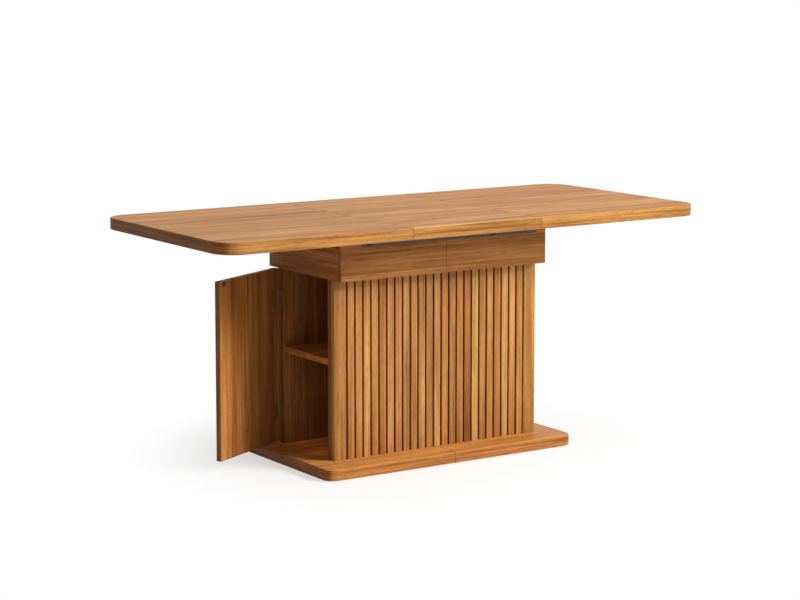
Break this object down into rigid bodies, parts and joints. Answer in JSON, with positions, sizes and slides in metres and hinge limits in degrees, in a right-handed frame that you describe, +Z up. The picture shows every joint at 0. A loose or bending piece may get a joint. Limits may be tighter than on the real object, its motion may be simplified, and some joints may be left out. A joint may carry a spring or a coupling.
{
  "type": "extending dining table with storage cabinet",
  "caption": "Extending wooden kitchen table whose pedestal is a fluted storage cabinet with a door in its end.",
  "frame": {"origin": "on the floor under the middle of the table top", "axes": "+X along the table towards its closed end, away from the cabinet door; +Y to the back; +Z up"},
  "size_m": [1.746, 0.768, 0.762],
  "materials": {
    "apron_back_left_board": "clear satin lacquer on solid wood",
    "apron_back_right_board": "clear satin lacquer on solid wood",
    "apron_corner_blocks": "bare planed wood",
    "apron_floor": "clear satin lacquer on laminated wood",
    "apron_floor_screws": "zinc-plated steel",
    "apron_front_left_board": "clear satin lacquer on solid wood",
    "apron_front_right_board": "clear satin lacquer on solid wood",
    "apron_left_end": "clear satin lacquer on solid wood",
    "apron_right_end": "clear satin lacquer on solid wood",
    "apron_seam_dowels": "bare planed wood",
    "back_fixed_rail": "matt anodised grey",
    "back_left_stile": "clear satin lacquer on solid wood",
    "back_pinion": "moulded nylon",
    "back_pinion_pin": "zinc-plated steel",
    "back_rail_stops_and_pads": "moulded nylon",
    "back_right_stile": "clear satin lacquer on solid wood",
    "back_side_board": "clear satin lacquer on laminated wood",
    "back_slats": "clear satin lacquer on solid wood",
    "base_glides": "pressed dark felt",
    "base_joining_plates": "zinc-plated steel",
    "base_joining_screws": "zinc-plated steel",
    "base_plate_left": "clear satin lacquer on solid wood",
    "base_plate_right": "clear satin lacquer on solid wood",
    "base_screws": "zinc-plated steel",
    "case_hinge_leaves": "dark plated steel",
    "case_hinge_screws": "zinc-plated steel",
    "door": "clear satin lacquer on solid wood",
    "door_hinge_leaves": "dark plated steel",
    "door_hinge_pins": "zinc-plated steel",
    "door_screws": "zinc-plated steel",
    "front_fixed_rail": "matt anodised grey",
    "front_left_stile": "clear satin lacquer on solid wood",
    "front_pinion": "moulded nylon",
    "front_pinion_pin": "zinc-plated steel",
    "front_rail_stops_and_pads": "moulded nylon",
    "front_right_stile": "clear satin lacquer on solid wood",
    "front_side_board": "clear satin lacquer on laminated wood",
    "front_slats": "clear satin lacquer on solid wood",
    "latch_body": "moulded nylon",
    "latch_plunger": "moulded nylon",
    "leaf_back": "clear satin lacquer on solid wood",
    "leaf_front": "clear satin lacquer on solid wood",
    "leaf_hinge_cups_back": "satin brass",
    "leaf_hinge_cups_front": "satin brass",
    "left_cleat_screws": "zinc-plated steel",
    "left_cleats": "bare planed wood",
    "left_runner_back": "zinc-plated steel",
    "left_runner_front": "zinc-plated steel",
    "rail_screws": "zinc-plated steel",
    "right_cleat_screws": "zinc-plated steel",
    "right_cleats": "bare planed wood",
    "right_end_panel": "clear satin lacquer on laminated wood",
    "right_runner_back": "zinc-plated steel",
    "right_runner_front": "zinc-plated steel",
    "shelf": "clear satin lacquer on laminated wood",
    "shelf_supports": "moulded nylon",
    "strike_plate": "dark plated steel",
    "top_left": "clear satin lacquer on solid wood",
    "top_right": "clear satin lacquer on solid wood"
  },
  "bodies": {
    "cabinet": {"apron_back_left_board": "apron_back_left_board", "apron_back_right_board": "apron_back_right_board", "apron_corner_blocks": "apron_corner_blocks", "apron_floor": "apron_floor", "apron_floor_screws": "apron_floor_screws", "apron_front_left_board": "apron_front_left_board", "apron_front_right_board": "apron_front_right_board", "apron_left_end": "apron_left_end", "apron_right_end": "apron_right_end", "apron_seam_dowels": "apron_seam_dowels", "back_fixed_rail": "back_fixed_rail", "back_left_stile": "back_left_stile", "back_pinion_pin": "back_pinion_pin", "back_rail_stops_and_pads": "back_rail_stops_and_pads", "back_right_stile": "back_right_stile", "back_side_board": "back_side_board", "back_slats": "back_slats", "base_glides": "base_glides", "base_joining_plates": "base_joining_plates", "base_joining_screws": "base_joining_screws", "base_plate_left": "base_plate_left", "base_plate_right": "base_plate_right", "base_screws": "base_screws", "case_hinge_leaves": "case_hinge_leaves", "case_hinge_screws": "case_hinge_screws", "door_hinge_pins": "door_hinge_pins", "front_fixed_rail": "front_fixed_rail", "front_left_stile": "front_left_stile", "front_pinion_pin": "front_pinion_pin", "front_rail_stops_and_pads": "front_rail_stops_and_pads", "front_right_stile": "front_right_stile", "front_side_board": "front_side_board", "front_slats": "front_slats", "latch_body": "latch_body", "leaf_back": "leaf_back", "leaf_hinge_cups_back": "leaf_hinge_cups_back", "rail_screws": "rail_screws", "right_end_panel": "right_end_panel", "shelf": "shelf", "shelf_supports": "shelf_supports"},
    "cabinet_door": {"door": "door", "door_hinge_leaves": "door_hinge_leaves", "door_screws": "door_screws", "strike_plate": "strike_plate"},
    "latch_pin": {"latch_plunger": "latch_plunger"},
    "left_half": {"top_left": "top_left", "left_cleats": "left_cleats", "left_cleat_screws": "left_cleat_screws", "left_runner_front": "left_runner_front", "left_runner_back": "left_runner_back"},
    "right_half": {"top_right": "top_right", "right_cleats": "right_cleats", "right_cleat_screws": "right_cleat_screws", "right_runner_front": "right_runner_front", "right_runner_back": "right_runner_back"},
    "front_leaf_half": {"leaf_front": "leaf_front", "leaf_hinge_cups_front": "leaf_hinge_cups_front"},
    "front_pinion_gear": {"front_pinion": "front_pinion"},
    "back_pinion_gear": {"back_pinion": "back_pinion"}
  },
  "joints": [
    {"name": "door_swing", "type": "hinge", "parent": "cabinet", "child": "cabinet_door", "pos_m": [-0.3785, 0.165, 0.313], "axis": [0, 0, -1], "range_deg": [-62, 118]},
    {"name": "latch_press", "type": "slide", "parent": "cabinet", "child": "latch_pin", "axis": [-1, 0, 0], "range_m": [-0.0025, 0], "stiffness_N_per_m": 300, "springref_m": 0.002},
    {"name": "left_half_slide", "type": "slide", "parent": "cabinet", "child": "left_half", "axis": [-1, 0, 0], "range_m": [0, 0.045]},
    {"name": "right_half_slide", "type": "slide", "parent": "cabinet", "child": "right_half", "axis": [1, 0, 0], "range_m": [0, 0.045]},
    {"name": "front_pinion_turn", "type": "hinge", "parent": "cabinet", "child": "front_pinion_gear", "pos_m": [0, -0.2032, 0.70775], "axis": [0, 1, 0], "range_deg": [-287, 0]},
    {"name": "back_pinion_turn", "type": "hinge", "parent": "cabinet", "child": "back_pinion_gear", "pos_m": [0, 0.2032, 0.70775], "axis": [0, 1, 0], "range_deg": [0, 287]},
    {"name": "leaf_fold", "type": "hinge", "parent": "cabinet", "child": "front_leaf_half", "pos_m": [0, 0, 0.762], "axis": [-1, 0, 0], "range_deg": [0, 179]}
  ],
  "couplings": [
    {"joint": "right_half_slide", "follows": "left_half_slide", "ratio": 1},
    {"joint": "front_pinion_turn", "follows": "left_half_slide", "rad_per_m": -111.11},
    {"joint": "back_pinion_turn", "follows": "left_half_slide", "rad_per_m": 111.11}
  ]
}
